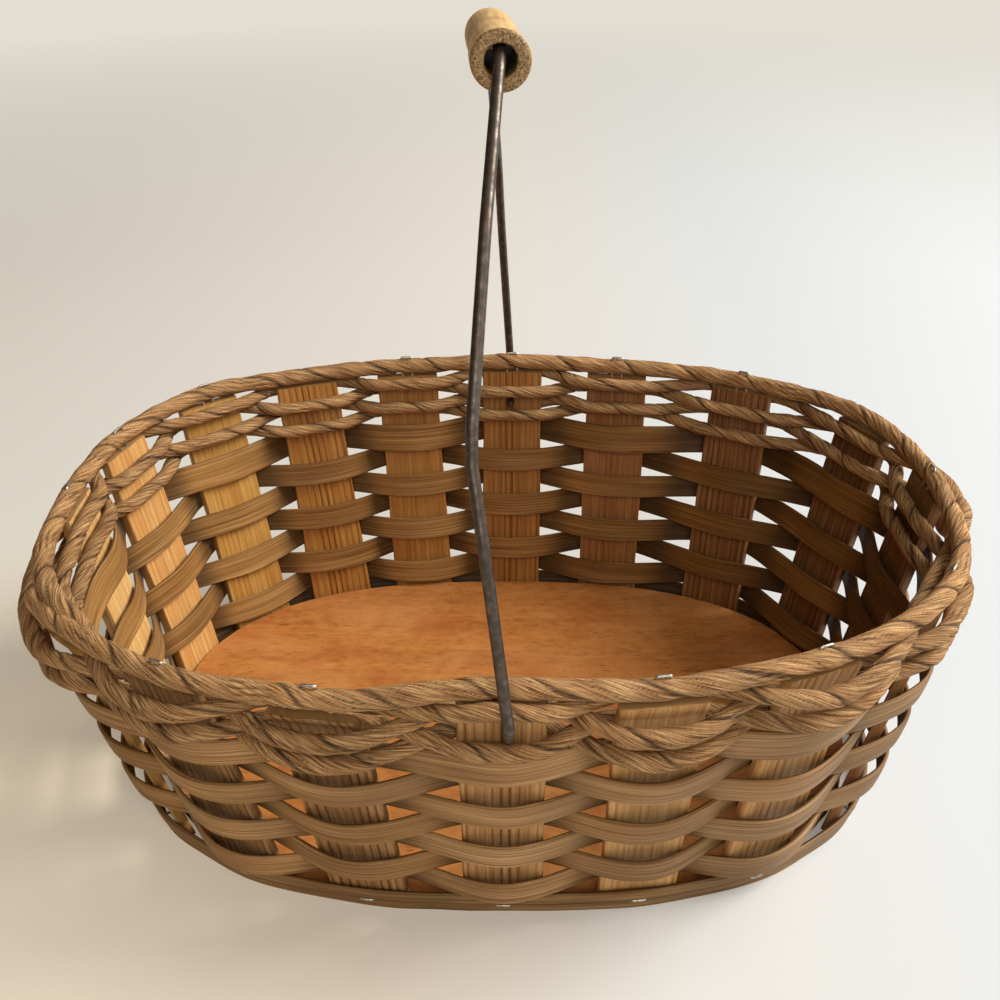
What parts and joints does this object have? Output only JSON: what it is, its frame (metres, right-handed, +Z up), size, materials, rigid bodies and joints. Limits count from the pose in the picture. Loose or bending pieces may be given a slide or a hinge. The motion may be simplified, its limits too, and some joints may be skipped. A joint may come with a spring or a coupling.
{
  "type": "splint basket",
  "caption": "Oval open gathering basket woven of flat wood splints and fibre rope on leaning wooden stakes, with a wooden floor and a folding wire bail with a turned wood grip.",
  "frame": {"origin": "middle of the underside of the floor board, where the basket stands", "axes": "+Z up, +X along the long way of the oval, -Y towards the front, the pivot line of the bail along Y"},
  "size_m": [0.4153, 0.3142, 0.3338],
  "materials": {
    "stake": "aged varnish, ribbed",
    "splint": "aged, dull satin",
    "rope": "twisted fibre, matt",
    "board": "aged varnish",
    "hoop": "aged, dull satin",
    "wire": "darkened, worn",
    "staple": "bright",
    "grip": "bare, worn smooth"
  },
  "bodies": {
    "basket": {"base_board": "board", "bottom_hoop": "hoop", "hoop_staple_back_centre": "staple", "hoop_staple_back_left_2": "staple", "hoop_staple_back_left_4": "staple", "hoop_staple_back_right_2": "staple", "hoop_staple_front_centre": "staple", "hoop_staple_front_left_1": "staple", "hoop_staple_front_left_2": "staple", "hoop_staple_front_right_1": "staple", "hoop_staple_front_right_2": "staple", "hoop_staple_front_right_3": "staple", "hoop_staple_left_end_front": "staple", "hoop_staple_right_end": "staple", "rim_rope": "rope", "rim_staple_back_centre": "staple", "rim_staple_back_left_1": "staple", "rim_staple_back_left_3": "staple", "rim_staple_back_left_4": "staple", "rim_staple_back_right_1": "staple", "rim_staple_back_right_2": "staple", "rim_staple_front_left_1": "staple", "rim_staple_front_left_2": "staple", "rim_staple_front_right_1": "staple", "rim_staple_front_right_2": "staple", "rim_staple_front_right_3": "staple", "rim_staple_left_end_back": "staple", "rim_staple_left_end_front": "staple", "rim_staple_right_end": "staple", "rope_row_10": "rope", "rope_row_11": "rope", "rope_row_8": "rope", "rope_row_9": "rope", "stake_back_centre": "stake", "stake_back_left_1": "stake", "stake_back_left_2": "stake", "stake_back_left_3": "stake", "stake_back_left_4": "stake", "stake_back_right_1": "stake", "stake_back_right_2": "stake", "stake_back_right_3": "stake", "stake_front_centre": "stake", "stake_front_left_1": "stake", "stake_front_left_2": "stake", "stake_front_right_1": "stake", "stake_front_right_2": "stake", "stake_front_right_3": "stake", "stake_left_end_back": "stake", "stake_left_end_front": "stake", "stake_right_end": "stake", "weaver_row_1": "splint", "weaver_row_2": "splint", "weaver_row_3": "splint", "weaver_row_4": "splint", "weaver_row_5": "splint", "weaver_row_6": "splint", "weaver_row_7": "splint"},
    "bail": {"bail_wire": "wire"},
    "grip": {"grip": "grip"}
  },
  "joints": [
    {"name": "bail_swing", "type": "hinge", "parent": "basket", "child": "bail", "pos_m": [0.0025, 0, 0.1117], "axis": [0, 1, 0], "range_deg": [-71, 81]},
    {"name": "grip_spin", "type": "hinge", "parent": "bail", "child": "grip", "pos_m": [-0.003, 0, 0.319], "axis": [-0.0495, 0.9953, -0.0829], "continuous": true}
  ]
}
